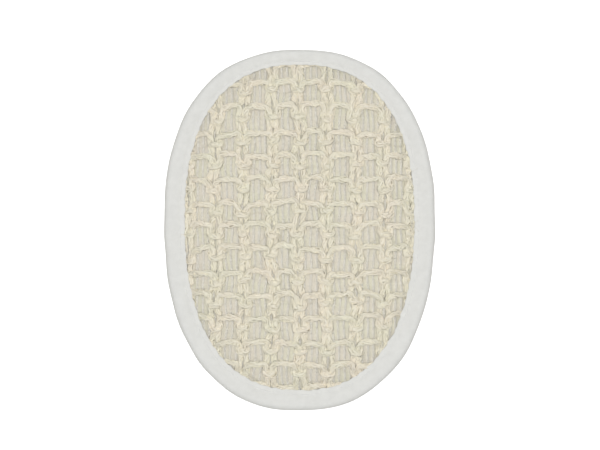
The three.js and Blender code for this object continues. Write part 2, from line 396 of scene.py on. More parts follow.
def noise_at(tree, place, scale, detail, roughness=0.5):
    """Soft cloudy noise of a scale, with smaller clouds added for each step of detail."""
    noise = add_node(tree, "ShaderNodeTexNoise", Scale=scale, Detail=detail, Roughness=roughness)
    tree.links.new(place, noise.inputs["Vector"])
    return noise.outputs["Fac"]


def shades(tree, factor, stops):
    """A colour ramp through (place, colour) stops, read at a factor."""
    ramp = tree.nodes.new("ShaderNodeValToRGB")
    while len(ramp.color_ramp.elements) < len(stops):
        ramp.color_ramp.elements.new(0.5)
    for element, (place, colour) in zip(ramp.color_ramp.elements, stops):
        element.position, element.color = place, (*colour, 1)
    tree.links.new(factor, ramp.inputs["Fac"])
    return ramp.outputs["Color"]


def tinted(tree, first, second):
    """The first colour multiplied by the second."""
    mix = tree.nodes.new("ShaderNodeMix")
    mix.data_type, mix.blend_type = "RGBA", "MULTIPLY"
    mix.inputs["Factor"].default_value = 1.0
    tree.links.new(first, mix.inputs["A"])
    tree.links.new(second, mix.inputs["B"])
    return mix.outputs["Result"]


def raised(tree, shader, height, depth_mm, strength):
    """Shades the surface as if it rose by a depth where the height is 1."""
    bump = add_node(tree, "ShaderNodeBump", Strength=strength, Distance=depth_mm * MM)
    tree.links.new(height, bump.inputs["Height"])
    tree.links.new(bump.outputs["Normal"], shader.inputs["Normal"])


print("materials so far:", [m.name for m in bpy.data.materials])

# %% [markdown]
# Sisal is a leaf fibre, so it shows long fine streaks in a few shades of straw, a faint
# gloss, and slow patches that are warmer or greener. A noise that is squeezed across the
# yarn and drawn out along it gives the streaks, and the same noise raises them a little.

# %% The finish of the sisal
SISAL_DARK = (0.81, 0.755, 0.61)
SISAL_MID = (0.895, 0.845, 0.72)
SISAL_PALE = (0.945, 0.915, 0.815)
SISAL_GREENER, SISAL_WARMER = (0.965, 0.98, 0.94), (1.0, 0.98, 0.96)


def sisal_finish(name, streak_scale):
    """Straw shades read from streaks along the yarn, times slow patches of warmth."""
    finish, tree, shader = start_finish(name, 0.62, 0.3, 0.15)
    streaks = noise_at(tree, scaled_place(tree, streak_scale, uv=True), 1.0, 4, 0.6)
    straw = shades(tree, streaks, [(0.28, SISAL_DARK), (0.5, SISAL_MID), (0.72, SISAL_PALE)])
    patches = noise_at(tree, scaled_place(tree, (1, 1, 1)), 90, 2)
    warmth = shades(tree, patches, [(0.35, SISAL_GREENER), (0.65, SISAL_WARMER)])
    tree.links.new(tinted(tree, straw, warmth), shader.inputs["Base Color"])
    raised(tree, shader, streaks, 0.12, 0.8)
    return finish


sisal = sisal_finish("sisal_yarn", (3.2, 0.22, 1))
sisal_hair = sisal_finish("sisal_hair", (0.8, 0.15, 1))
print("sisal finishes:", sisal.name, sisal_hair.name)

# %% [markdown]
# The tape, the towelling, the thread and the foam share one recipe: a mottle between a
# darker and a paler shade, and two crossed waves in the bump for the threads, or for the
# foam's cells. On the tape a painted shade darkens the outer fold: its colour is multiplied
# by a greyer one where the piece's own painted shade value is high.

# %% The finishes of the cloths
# Painted shade on the tape's outer fold: the grey it is multiplied by, and no change.
TAPE_FOLD_SHADE = (0.80, 0.80, 0.78)
UNSHADED = (1, 1, 1)
WAVE_LENGTH_AT_SCALE_ONE = 0.314


def cloth_finish(name, dark, pale, grain_mm, thread_mm, depth_mm,
                 roughness=0.92, sheen=0.2, shaded_by=None):
    """A mottle of a grain size, crossed threads in the bump, and painted shade where a named
    value is high.

    A wave's scale is its length at scale one over the thread's spacing.
    """
    finish, tree, shader = start_finish(name, roughness, 0.2, sheen)
    place = scaled_place(tree, (1, 1, 1))
    mottle = noise_at(tree, place, 1 / (grain_mm * MM), 3, 0.65)
    colour = shades(tree, mottle, [(0.3, dark), (0.7, pale)])
    # Painted shade: the colour turns greyer where the named point value is high.
    if shaded_by:
        shade_reader = tree.nodes.new("ShaderNodeAttribute")
        shade_reader.attribute_name = shaded_by
        painted_grey = shades(tree, shade_reader.outputs["Fac"], [(0, UNSHADED), (1, TAPE_FOLD_SHADE)])
        colour = tinted(tree, colour, painted_grey)
    tree.links.new(colour, shader.inputs["Base Color"])
    threads = []
    wave_scale = WAVE_LENGTH_AT_SCALE_ONE / (thread_mm * MM)
    for direction in ("X", "Y"):
        wave = add_node(tree, "ShaderNodeTexWave", Scale=wave_scale, Distortion=0.6, Detail=1)
        wave.inputs["Detail Scale"].default_value = 2.0
        wave.bands_direction = direction
        tree.links.new(place, wave.inputs["Vector"])
        threads.append(wave.outputs["Fac"])
    woven = tree.nodes.new("ShaderNodeMath")
    woven.operation = "ADD"
    tree.links.new(threads[0], woven.inputs[0])
    tree.links.new(threads[1], woven.inputs[1])
    raised(tree, shader, woven.outputs["Value"], depth_mm, 0.6)
    return finish


TAPE_SHADES = (0.775, 0.775, 0.745), (0.825, 0.825, 0.795)
TOWEL_SHADES = (0.70, 0.67, 0.60), (0.80, 0.78, 0.71)
FOAM_SHADES = (0.78, 0.73, 0.55), (0.85, 0.81, 0.64)
THREAD_SHADES = (0.78, 0.78, 0.76), (0.84, 0.84, 0.82)

binding_tape = cloth_finish("binding_fabric", *TAPE_SHADES, 3.0, 0.45, 0.03,
                            shaded_by="painted_fold_shade")
towelling = cloth_finish("towelling", *TOWEL_SHADES, 0.8, 0.5, 0.05)
pale_foam = cloth_finish("foam", *FOAM_SHADES, 0.9, 0.7, 0.12, 0.95, 0.0)
sewing_thread = cloth_finish("seam_thread", *THREAD_SHADES, 0.6, 0.3, 0.03, 0.7, 0.3)
print("finishes:", [m.name for m in bpy.data.materials])

# %% [markdown]
# ## The knitted sisal face
#
# The face is a plain knit seen from its purl side. Each course is one length of yarn
# that runs from side to side: it makes a narrow bend at the foot of a loop, climbs
# beside its neighbour, and closes in a wide arch that lies over the legs of the course
# above. A sum of a few sine and cosine waves for each of x, y and height draws that
# path, so one formula makes all of it. Hands tug a knit out of true, so a smooth field
# of small shifts moves the whole fabric, which keeps the yarns in order while no two
# loops look alike. Sewn into its oval the fabric also sags as a whole, and a shift of
# its rows does that.

# %% How the fabric is tugged and settled
WALE_PITCH, COURSE_PITCH, COURSE_COUNT = 11.6, 9.65, 15
TOP_COURSE_Y, LOOP_HALF_HEIGHT = 63.8, 7.1
SLOW_TUG_X, QUICK_TUG_X = 0.35, 0.42
SLOW_TUG_Y, QUICK_TUG_Y = 0.40, 0.46
SEWN_SAG = 1.2
OPENING_SHIFT, OPENING_Y, OPENING_REACH = 2.2, 56, 6
DROOP_SHIFT, DROOP_AT_X, DROOP_FROM_Y, DROOP_GROWS_OVER = 1.8, 45, 10, 50


def tug_field(seed, reach_mm, waves):
    """A smooth random field of the plane: a sum of slanted sine waves of about one length."""
    pick = np.random.default_rng(seed)
    heading = pick.uniform(0, TURN, waves)
    length = reach_mm * pick.uniform(0.7, 1.5, waves)
    phase = pick.uniform(0, TURN, waves)

    def field(x, y):
        """The sum at every point, scaled so that its usual size is about 1."""
        x, y = np.asarray(x)[..., None], np.asarray(y)[..., None]
        along = x * np.cos(heading) + y * np.sin(heading)
        return np.sin(along * TURN / length + phase).sum(-1) * np.sqrt(2 / waves)

    return field


slow_x, slow_y = tug_field(11, 42, 7), tug_field(12, 38, 7)
quick_x, quick_y = tug_field(13, 15, 9), tug_field(14, 13, 9)


def settled(x, y):
    """Row heights as sewn in: less a sag, plus a bell round one row, less a droop.

    The bell lifts the rows near the second bar. The droop grows by the square of x and
    towards the top.
    """
    opening = OPENING_SHIFT * np.exp(-(((y - OPENING_Y) / OPENING_REACH) ** 2))
    high_up = np.clip((y - DROOP_FROM_Y) / DROOP_GROWS_OVER, 0, 1)
    droop = DROOP_SHIFT * (x / DROOP_AT_X) ** 2 * high_up
    return y - SEWN_SAG + opening - droop


print("largest droop at the sides, mm:", DROOP_SHIFT)

# %% [markdown]
# One course is now a path with a single running number, the count of loops from the
# middle. The first sideways wave narrows the neck of the loop and the second bulges its
# head. The second wave of the height lifts the yarn twice in each loop, which is where
# it passes over its neighbours. A course is cut where the rim of the oval crosses it, so
# a function also finds the stretches that lie inside.

# %% The path of the yarn
SIDEWAYS_WAVES = (-1.55, 1.62, 0.05, 0.12)
UPRIGHT_WAVES = (-1.11, 0, 0.11)
WEAVE_WAVES = (-0.3, 0.82, 0.10)
YARN_END_INSET, SHORTEST_RUN, RUN_STEP, HALF_WALES = 4.4, 0.16, 0.01, 5.5


def yarn_place(course, loops):
    """Place of a course's yarn after a number of loops from the middle.

    x goes a pitch for each loop plus sine waves, y is a level plus cosine waves, and the
    height is the knit's level plus cosine waves times its loft. Then the tugs are added.
    """
    turn = TURN * loops
    sideways = sum(w * np.sin((k + 1) * turn) for k, w in enumerate(SIDEWAYS_WAVES))
    x = WALE_PITCH * loops + sideways
    y = sum(w * np.cos((k + 1) * turn) for k, w in enumerate(UPRIGHT_WAVES))
    y = settled(x, TOP_COURSE_Y - COURSE_PITCH * course + LOOP_HALF_HEIGHT * y)
    tug_x = SLOW_TUG_X * slow_x(x, y), QUICK_TUG_X * quick_x(x, y)
    tug_y = SLOW_TUG_Y * slow_y(x, y), QUICK_TUG_Y * quick_y(x, y)
    x, y = x + tug_x[0] + tug_x[1], y + tug_y[0] + tug_y[1]
    weave = sum(w * np.cos((k + 1) * turn) for k, w in enumerate(WEAVE_WAVES))
    return np.stack([x, y, knit_level(x, y) + weave * knit_loft(x, y)], -1)


def runs_of(course):
    """Stretches of a course that lie inside the binding, as (start, end) counted in loops."""
    loops = np.arange(-HALF_WALES, HALF_WALES, RUN_STEP)
    x, y, _ = yarn_place(course, loops).T
    inside = (gauge(x, y) < 1) & (inset_of(x, y) > YARN_END_INSET)
    steps = np.diff(np.concatenate([[0], inside.astype(int), [0]]))
    starts, ends = np.flatnonzero(steps == 1), np.flatnonzero(steps == -1) - 1
    stretches = [(loops[a], loops[b]) for a, b in zip(starts, ends)]
    return [(a, b) for a, b in stretches if b - a > SHORTEST_RUN]


print("runs in each course:", [len(runs_of(course)) for course in range(COURSE_COUNT)])

# %% [markdown]
# Sisal yarn is hardly spun. It is a bundle of flat ribbons of leaf fibre with a slow
# twist, and the ribbons spread and close up as the yarn bends. A single tube would look
# like rope, so each length of yarn here is a core ribbon and seven more that wind round
# it. Each ribbon wanders from its place and swells and thins by slow random drifts.
# Under the binding the bundle is squeezed flat.

# %% The ribbons of the yarn
RING_STEP, RIBBON_COUNT, RIBBON_SIDES = 0.62, 7, 6
YARN_WIDTH, YARN_THICKNESS, TWIST_PITCH = 2.62, 1.15, 38.0
RIBBON_WIDTH, RIBBON_THICKNESS, CORE_WIDTH = 0.95, 0.42, 1.8
RIBBON_EDGE_IN, FLATTENED_AT_RIM, FULL_AFTER = 0.55, 0.45, 0.5
ANGLE_WANDER, SPREAD_WANDER, WIDTH_WANDER, SWELL_WANDER = 0.55, 0.26, 0.15, 0.28
FINE_STEPS_PER_LOOP, YARN_GIRTH, SIDE_LEAN = 260, 2.2, 0.55


def drift(along, wavelength, draw, count=1):
    """Slow random curves along the yarn, about -1 to 1, one curve to a row.

    Each is the sum of three sines of unlike wavelengths, over 1.7.
    """
    phases = draw.uniform(0, TURN, (count, 1, 3))
    stretch = np.array([1.0, 0.61, 0.37]) * wavelength
    return np.sin(along[None, :, None] * TURN / stretch + phases).sum(-1) / 1.7


def yarn_axes(course, start, end):
    """Evenly spaced steps of a run: places, axes (along, across, up) and distance along."""
    fine = np.linspace(start, end, max(24, int((end - start) * FINE_STEPS_PER_LOOP)))
    place = yarn_place(course, fine)
    along = np.concatenate([[0], np.cumsum(np.linalg.norm(np.diff(place, axis=0), axis=1))])
    even = np.linspace(0, along[-1], max(8, int(along[-1] / RING_STEP)))
    place = yarn_place(course, np.interp(even, along, fine))
    tangent = unit(np.gradient(place, axis=0))
    across = unit(np.stack([-tangent[:, 1], tangent[:, 0], np.zeros(len(even))], -1))
    return place, tangent, across, np.cross(tangent, across), even


def yarn_ribbons(course, start, end, draw):
    """Ribbons of a run: centres on an oval about the yarn, and the core in its middle.

    A ribbon's angle is its share of a turn, plus the twist, plus a drift. Its distance
    and width drift as well, and the thickness lessens where the width grows.
    """
    place, _, across, up, even = yarn_axes(course, start, end)
    loft = knit_loft(place[:, 0], place[:, 1])
    fullness = np.clip((loft - PINCH_AT_RIM) / FULL_AFTER, 0, 1)
    squeeze = FLATTENED_AT_RIM + (1 - FLATTENED_AT_RIM) * fullness
    count = RIBBON_COUNT + 1
    number = np.arange(count)[:, None]
    wound = number < RIBBON_COUNT
    angle = (number / RIBBON_COUNT + even / TWIST_PITCH) * TURN
    angle = angle + ANGLE_WANDER * drift(even, 10, draw, count)
    spread = wound * (1 + SPREAD_WANDER * drift(even, 7, draw, count))
    side_reach = (YARN_WIDTH - RIBBON_EDGE_IN) / 2
    side_reach = side_reach * (1 + WIDTH_WANDER * drift(even, 24, draw))
    up_reach = (YARN_THICKNESS - RIBBON_THICKNESS) / 2 * squeeze
    lines = place + (spread * side_reach * np.cos(angle))[..., None] * across
    lines = lines + (spread * up_reach * np.sin(angle))[..., None] * up
    lean = np.where(wound, np.sin(angle), 1.0)
    tilt = SIDE_LEAN * (wound * np.cos(angle))[..., None]
    flat_way = unit(lean[..., None] * across - tilt * up)
    swell_of = 1 + SWELL_WANDER * drift(even, 8, draw, count)
    half_width = np.where(wound, RIBBON_WIDTH, CORE_WIDTH) / 2 * swell_of
    half_thick = RIBBON_THICKNESS / 2 * squeeze * (2 - swell_of)
    along = even[None] + draw.uniform(0, 400, (count, 1))
    return lines, half_width, half_thick, flat_way, along


def knit_course(course):
    """One course of the face as a single mesh, standing for the frame's lengths of it."""
    draw = np.random.default_rng(100 + course)
    points, faces, uvs, first = [], [], [], 0
    for start, end in runs_of(course):
        *ribbons, along = yarn_ribbons(course, start, end, draw)
        run_points, run_faces = strand_mesh(*ribbons, RIBBON_SIDES)
        points.append(run_points)
        faces += [[corner + first for corner in face] for face in run_faces]
        uvs.append(strand_corners(along, YARN_GIRTH, RIBBON_SIDES))
        first += len(run_points)
    label = f"{course + 1:02d}"
    nodes = [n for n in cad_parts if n.startswith("knit_course_" + label)]
    name = "sisal_course_" + label
    all_points, all_uvs = np.concatenate(points), np.concatenate(uvs)
    return add_piece(name, all_points, faces, sisal, "sisal_yarn", nodes, all_uvs)


for course in range(COURSE_COUNT):
    knit_course(course)

# %% [markdown]
# Sisal is a stiff leaf fibre, and single hairs of it always spring out of the yarn.
# Each hair here leaves the yarn's upper side along the yarn, drifts off it sideways
# and bends a little. Broader and flatter slips of leaf come loose in the same way. They
# are drawn all at once as thin three-sided strands.

# %% Loose sisal fibres
HAIR_STEPS, HAIR_SIDES, HAIR_GIRTH = 8, 3, 0.8
SKIN_OUT, SKIN_UP, CLEAR_OF_BAND = 1.0, 0.6, 1.5
SIDE_STRAY, SIDE_BEND, DROOP_BEND, TIP_THINNING, FLATNESS = 0.28, 0.16, 0.10, 0.6, 0.7


def loose_fibres(name, count, longest, thinnest, thickest, lift, draw):
    """Strands from the yarn's skin: a heading times the way, plus a bend times its square."""
    runs = [(c, run) for c in range(COURSE_COUNT) for run in runs_of(c)]
    axes = [yarn_axes(c, *run)[:4] for c, run in runs]
    place, tangent, across, up = (np.concatenate([a[k] for a in axes]) for k in range(4))
    open_face = np.flatnonzero(from_band(place[:, 0], place[:, 1]) > CLEAR_OF_BAND)
    pick = draw.choice(open_face, count)
    angle = draw.uniform(0.12, 0.88, count)[:, None] * np.pi
    start = place[pick] + SKIN_OUT * np.cos(angle) * across[pick]
    start = start + SKIN_UP * np.sin(angle) * up[pick]
    forward = draw.choice([-1, 1], count)[:, None]
    heading = forward * tangent[pick] + draw.normal(0, SIDE_STRAY, (count, 1)) * across[pick]
    heading = unit(heading + draw.uniform(-0.02, lift, (count, 1)) * up[pick])
    length = draw.gamma(3.0, longest / 7, count).clip(2, longest)[:, None, None]
    way = np.linspace(0, 1, HAIR_STEPS)[None, :, None]
    bend = draw.normal(0, SIDE_BEND, (count, 1, 1)) * across[pick][:, None]
    bend = bend - DROOP_BEND * up[pick][:, None]
    lines = start[:, None] + heading[:, None] * length * way + bend * length * way ** 2
    radii = draw.uniform(thinnest, thickest, (count, 1)) * (1 - TIP_THINNING * way[0, :, 0])
    sideways = across[pick][:, None]
    points, faces = strand_mesh(lines, radii, FLATNESS * radii, sideways, HAIR_SIDES)
    corner_uv = strand_corners(length[:, :, 0] * way[0, :, 0], HAIR_GIRTH, HAIR_SIDES)
    return add_piece(name, points, faces, sisal_hair, "sisal_yarn", (), corner_uv)


loose_fibres("sisal_hairs", 850, 11, 0.06, 0.13, 0.22, np.random.default_rng(31))
loose_fibres("sisal_loose_ribbons", 320, 10, 0.16, 0.30, 0.10, np.random.default_rng(32))

# %% [markdown]
# ## The lining and the back cloth
#
# Both cloths are cut to the oval and held under the binding. A cloth is a grid whose
# rows are level lines across the oval: each row reaches from edge to edge, and the
# first and last points are shared so that the ends close. Height is then a function of
# x and y alone, and the Solidify modifier gives the cloth its thickness.

# %% Cloth cut to the oval
CLOTH_END_INSET, OUTLINE_STEPS = 3.4, 721


def oval_cloth(rows, columns, height_at):
    """Points of a cloth: level rows from side to side of the oval, and one point at each end.

    A row's x is the edge's x times a share from -1 to 1, and its y is the edge's y.
    """
    angle = np.linspace(-np.pi / 2, np.pi / 2, rows + 2)[1:-1, None]
    edge_x, edge_y = rim_point(angle, CLOTH_END_INSET)
    x = edge_x * np.linspace(-1, 1, columns)[None, :]
    y = edge_y + np.zeros_like(x)
    ends = np.array([rim_point(np.array(a), CLOTH_END_INSET) for a in (-np.pi / 2, np.pi / 2)])
    x = np.concatenate([x.ravel(), ends[:, 0]])
    y = np.concatenate([y.ravel(), ends[:, 1]])
    quads = grid_quads(rows, columns, False)
    across = np.arange(columns - 1)
    south, north, top_row = rows * columns, rows * columns + 1, (rows - 1) * columns
    fans = [[south, c + 1, c] for c in across]
    fans += [[north, top_row + c, top_row + c + 1] for c in across]
    return np.stack([x, y, height_at(x, y)], -1), quads.tolist() + fans


def turned_over(faces):
    """The same faces with their corners in reverse, so that they look the other way."""
    return [face[::-1] for face in faces]


def solidified(piece, thickness_mm):
    """Gives a cloth its thickness, on the side behind its face."""
    solid = piece.modifiers.new("cloth_thickness", "SOLIDIFY")
    solid.thickness = thickness_mm * MM
    solid.offset = -1


# %% [markdown]
# The lining is brushed cotton. Its colour carries painted shade in the hollows of its
# ribs and painted light on their crests, read from the cloth's own rib height instead of
# from a pattern that might miss the ribs. A fine speckle stands for its curled fibres,
# and wide patches keep the shade from being even.

# %% The finish of the lining
# Painted shade in the rib hollows, up to painted light on the crests.
RIB_PAINTED_SHADES = [(0.1, (0.765, 0.73, 0.62)), (0.5, (0.82, 0.79, 0.69)), (0.85, (0.89, 0.86, 0.78))]
SPECK_SHADES = [(0.32, (0.84, 0.84, 0.84)), (0.5, (0.96, 0.96, 0.96)), (0.66, (1.0, 1.0, 1.0))]
PATCH_SHADES = [(0.38, (0.985, 1.0, 0.96)), (0.62, (1.0, 0.985, 1.0))]
# Painted light: the rib stitches are a paler copy of the lining's cotton, so the crests read
# lit.
PAINTED_LIT_STITCH_SHADES = (0.855, 0.825, 0.74), (0.92, 0.895, 0.83)


def ribbed_cotton(name):
    """A painted shade for the rib height, dark in the hollows and light on the crests, times a
    fine speckle, times wide patches.
    """
    finish, tree, shader = start_finish(name, 0.92, 0.2, 0.2)
    # Painted shade and light: the colour is read from the rib height, darker low, paler high.
    ribs = tree.nodes.new("ShaderNodeAttribute")
    ribs.attribute_name = "rib_height"
    painted_rib_shade = shades(tree, ribs.outputs["Fac"], RIB_PAINTED_SHADES)
    speckle = noise_at(tree, scaled_place(tree, (1, 1, 1)), 1600, 3, 0.7)
    specks = shades(tree, speckle, SPECK_SHADES)
    patches = noise_at(tree, scaled_place(tree, (1, 1, 1)), 110, 2)
    uneven = shades(tree, patches, PATCH_SHADES)
    cotton = tinted(tree, tinted(tree, painted_rib_shade, specks), uneven)
    tree.links.new(cotton, shader.inputs["Base Color"])
    raised(tree, shader, speckle, 0.15, 0.7)
    return finish


ribbed = ribbed_cotton("lining_cotton")
rib_cotton = cloth_finish("lining_rib_cotton", *PAINTED_LIT_STITCH_SHADES, 0.9, 0.3, 0.02)
print("lining finishes:", ribbed.name, rib_cotton.name)

# %% [markdown]
# The lining is a fine cotton rib knit, and its ribs run the length of the pad. A power
# of a cosine across the cloth makes narrow crests and wide hollows, a slower cosine
# along each rib makes its chain of bumps, and tugs keep the ribs from ruler-straight
# lines.

# %% The ribbed lining
RIB_PITCH, RIB_HEIGHT, RIB_STITCH = 2.35, 0.45, 1.25
RIB_SHARPNESS, RIB_SWAY, RIB_BASE, LUMP_HEIGHT = 2.2, 0.28, 0.12, 0.055
CHAIN_LOW, CHAIN_SWING, CHAIN_SHIFT, CHAIN_WANDER = 0.62, 0.38, 2.4, 0.9
LINING_ROWS, LINING_COLUMNS, LINING_CLOTH = 200, 160, 0.3
rib_sway, rib_tone = tug_field(21, 17, 6), tug_field(22, 9, 8)
fine_lumps = tug_field(23, 1.9, 14)


def ribbed_height(x, y):
    """Dome of the lining, plus a rounded rib at each pitch, plus small bumps along the ribs."""
    swayed = x + RIB_SWAY * rib_sway(x, y)
    rib_number = np.round(swayed / RIB_PITCH)
    rib = (0.5 + 0.5 * np.cos(TURN * swayed / RIB_PITCH)) ** RIB_SHARPNESS
    along = TURN * y / RIB_STITCH + CHAIN_SHIFT * rib_number
    chain = CHAIN_LOW + CHAIN_SWING * np.cos(along + CHAIN_WANDER * rib_tone(x, y))
    lumps = LUMP_HEIGHT * fine_lumps(x, y)
    return lining_underside(x, y) + RIB_BASE + RIB_HEIGHT * rib * chain + lumps


lining_points, lining_faces = oval_cloth(LINING_ROWS, LINING_COLUMNS, ribbed_height)
lining = add_piece("ribbed_lining", lining_points, lining_faces, ribbed,
                   "lining_cotton", ["lining_cloth"])
over_dome = lining_points[:, 2] - lining_underside(*lining_points.T[:2])
# The rib height also drives the lining's painted shade and light.
point_values(lining, "rib_height", np.clip((over_dome - RIB_BASE) / RIB_HEIGHT, 0, 1))
solidified(lining, LINING_CLOTH)

# %% [markdown]
# On the crest of each rib the cotton shows its knit stitches, a chain of small Vs. Each
# V is two short strands that start low in the middle of the rib and lean apart as they
# rise over the stitch above. There are thousands, so each strand has only a few faces.

# %% Stitches on the ribs
ARM_STEPS, ARM_SIDES, ARM_THICKNESS, ARM_ARCH = 4, 3, 0.24, 0.20
ARM_FOOT, ARM_SPREAD, ARM_REACH, CREST_SHARE = 0.08, 0.30, 1.2, 0.8
RIB_NUMBERS, STITCH_NUMBERS, UNDER_BAND = (-23, 24), (-60, 60), -0.8


def rib_stitches(draw):
    """Centre lines of the arms of the Vs.

    An arm leans to one side of its rib by a share of the way, climbs a little more than
    a stitch along it, and arches over the crest by a part of half a sine.
    """
    rib, row = np.meshgrid(np.arange(*RIB_NUMBERS), np.arange(*STITCH_NUMBERS))
    rib, row = rib.ravel(), row.ravel()
    y = row * RIB_STITCH + draw.normal(0, 0.07, row.size)
    x = rib * RIB_PITCH
    x = x - RIB_SWAY * rib_sway(x, y)
    keep = (gauge(x, y) < 1) & (from_band(x, y) > UNDER_BAND)
    x, y = x[keep][:, None], y[keep][:, None]
    way = np.linspace(0, 1, ARM_STEPS)[None, :]
    arms = []
    for side in (-1, 1):
        lean = side * (ARM_FOOT + ARM_SPREAD * way)
        spread = lean * draw.uniform(0.7, 1.3, (len(x), 1))
        arm_y = y + RIB_STITCH * (ARM_REACH * way - 0.5)
        crest = lining_underside(x, arm_y) + RIB_BASE + CREST_SHARE * RIB_HEIGHT
        arch = ARM_ARCH * np.sin(np.pi * (0.12 + 0.76 * way))
        arch = arch * draw.uniform(0.6, 1.3, (len(x), 1))
        arms.append(np.stack([x + spread, arm_y, crest + arch], -1))
    lines = np.concatenate(arms)
    radii = ARM_THICKNESS * draw.uniform(0.75, 1.25, (len(lines), 1))
    radii = radii * np.ones((1, ARM_STEPS))
    return lines, radii, radii, np.array([1.0, 0.0, 0.0])


arms = rib_stitches(np.random.default_rng(25))
rib_chain = add_piece("lining_rib_stitches", *strand_mesh(*arms, ARM_SIDES),
                      rib_cotton, "lining_cotton")

# %% [markdown]
# ## The towelling back
#
# The back is terry towelling: a plain ground cloth with thousands of small cotton
# loops standing out of it. The ground cloth is made like the lining, but its faces are
# turned over so that it faces the table.

# %% Ground cloth of the back
GROUND_BELOW_TOP, GROUND_WAVE, GROUND_CLOTH = 0.62, 0.05, 0.4
GROUND_ROWS, GROUND_COLUMNS = 150, 116
ground_waves = tug_field(41, 6, 9)


def ground_height(x, y):
    """The lower face of the ground cloth: the back's top, less the cloth, plus slow waves."""
    return back_top(x, y) - GROUND_BELOW_TOP + GROUND_WAVE * ground_waves(x, y)


back_points, back_faces = oval_cloth(GROUND_ROWS, GROUND_COLUMNS, ground_height)
back = add_piece("towelling_ground", back_points, turned_over(back_faces), towelling,
                 "towelling", ["back_cloth"])
solidified(back, GROUND_CLOTH)

# %% [markdown]
# The pile could be a bump in the finish, but then the back would look smooth from the
# side. So each loop is real, a short arch of thin cotton that is turned and leaned by
# chance. It has only a few dozen faces, and all the loops are computed together.

# %% Terry loops
LOOP_PITCH, LOOP_STEPS, LOOP_SIDES, ROW_SHARE = 1.6, 6, 3, 0.87
LOOP_HALF_SPAN, LOOP_ROOT, LOOP_GAP, LOOP_LEAN, LOOP_STRAY = 0.42, 0.05, 0.16, 0.35, 0.2
THINNEST_PILE, THICKEST_PILE, PILE_UNDER_BAND = 0.15, 0.21, -0.4


def terry_loops(draw):
    """Centre lines of the loops: half turns that hang from the ground cloth and lean.

    A cosine carries a loop from foot to foot, and a sine carries it down and sideways.
    """
    rows_y = np.arange(-70, 72, LOOP_PITCH * ROW_SHARE)
    x, y = np.meshgrid(np.arange(-52, 52, LOOP_PITCH), rows_y)
    x[::2] += LOOP_PITCH / 2
    x = x.ravel() + draw.normal(0, LOOP_STRAY, x.size)
    y = y.ravel() + draw.normal(0, LOOP_STRAY, y.size)
    keep = (gauge(x, y) < 1) & (from_band(x, y) > PILE_UNDER_BAND)
    x, y = x[keep], y[keep]
    count = len(x)
    heading = draw.uniform(0, TURN, count)
    beside = np.stack([np.cos(heading), np.sin(heading), np.zeros(count)], -1)
    room = ground_height(x, y) - back_underside(x, y) - LOOP_GAP
    drop = room * draw.uniform(0.78, 1.0, count)
    lean = draw.normal(0, LOOP_LEAN, (count, 2))
    way = np.linspace(0, np.pi, LOOP_STEPS)[None, :, None]
    root = np.stack([x, y, ground_height(x, y) + LOOP_ROOT], -1)
    hang = np.concatenate([lean, np.full((count, 1), -1.0)], -1) * drop[:, None]
    lines = root[:, None] + np.cos(way) * beside[:, None] * LOOP_HALF_SPAN
    lines = lines + np.sin(way) * hang[:, None]
    radii = draw.uniform(THINNEST_PILE, THICKEST_PILE, (count, 1)) * np.ones((1, LOOP_STEPS))
    return lines, radii, radii, unit(np.cross(beside, [0.0, 0.0, 1.0]))[:, None]


pile_loops = terry_loops(np.random.default_rng(43))
loop_points, loop_faces = strand_mesh(*pile_loops, LOOP_SIDES)
loop_points[:, 2] = np.maximum(loop_points[:, 2], 0.0)
pile = add_piece("towelling_loops", loop_points, loop_faces, towelling, "towelling")

# %% [markdown]
# ## The foam core
#
# A slice of open-cell foam gives the pad its body. It is never seen unless the pad is
# cut open, but it fills the space between the two cloths, so it is made as a closed
# cushion with a rounded edge and a skin of small pits.

# %% Foam core
FOAM_RINGS, FOAM_COLUMNS, FOAM_EDGE = 64, 160, 3.0
FOAM_TURN_FROM, FOAM_TURN_OVER, PIT_DEPTH = 0.42, 0.16, 0.10
foam_pits = tug_field(51, 2.6, 16)


def foam_skin():
    """Rings from the middle of the underside out round the edge and back over the top.

    A ring's share of the oval is a sine of the way, and a smooth step of the way takes
    it from the back cloth up to the lining.
    """
    way = np.linspace(0, 1, FOAM_RINGS)[1:-1, None]
    angle = (np.arange(FOAM_COLUMNS) * TURN / FOAM_COLUMNS)[None, :]
    rim_x, rim_y = rim_point(angle, 0)
    edge_x, edge_y = rim_point(angle, band_width_toward(rim_x, rim_y) + FOAM_EDGE)
    share = np.minimum(1, np.sin(way * np.pi) * 1.03) ** 0.8
    x, y = edge_x * share, WIDEST_Y + (edge_y - WIDEST_Y) * share
    low, high = back_top(x, y) + CLEARANCE, lining_underside(x, y) - CLEARANCE
    turned = np.clip((way - FOAM_TURN_FROM) / FOAM_TURN_OVER, 0, 1)
    rise = 0.5 - 0.5 * np.cos(np.pi * turned)
    pits = PIT_DEPTH * foam_pits(x, y + 9 * rise) * (rise - 0.5)
    z = low + (high - low) * rise + pits
    lowest = back_top(0, WIDEST_Y) + CLEARANCE
    highest = lining_underside(0, WIDEST_Y) - CLEARANCE
    ends = np.array([[0, WIDEST_Y, lowest], [0, WIDEST_Y, highest]])
    points = np.concatenate([np.stack([x, y, z], -1).reshape(-1, 3), ends])
    rows = FOAM_RINGS - 2
    side = np.arange(FOAM_COLUMNS)
    beside = (side + 1) % FOAM_COLUMNS
    top = (rows - 1) * FOAM_COLUMNS
    low_end = np.full(FOAM_COLUMNS, rows * FOAM_COLUMNS)
    fans = np.stack([low_end, beside, side], -1).tolist()
    fans += np.stack([low_end + 1, top + side, top + beside], -1).tolist()
    return points, grid_quads(rows, FOAM_COLUMNS, True).tolist() + fans


foam_points, foam_faces = foam_skin()
foam = add_piece("foam_filling", foam_points, foam_faces, pale_foam, "foam", ["foam_core"])

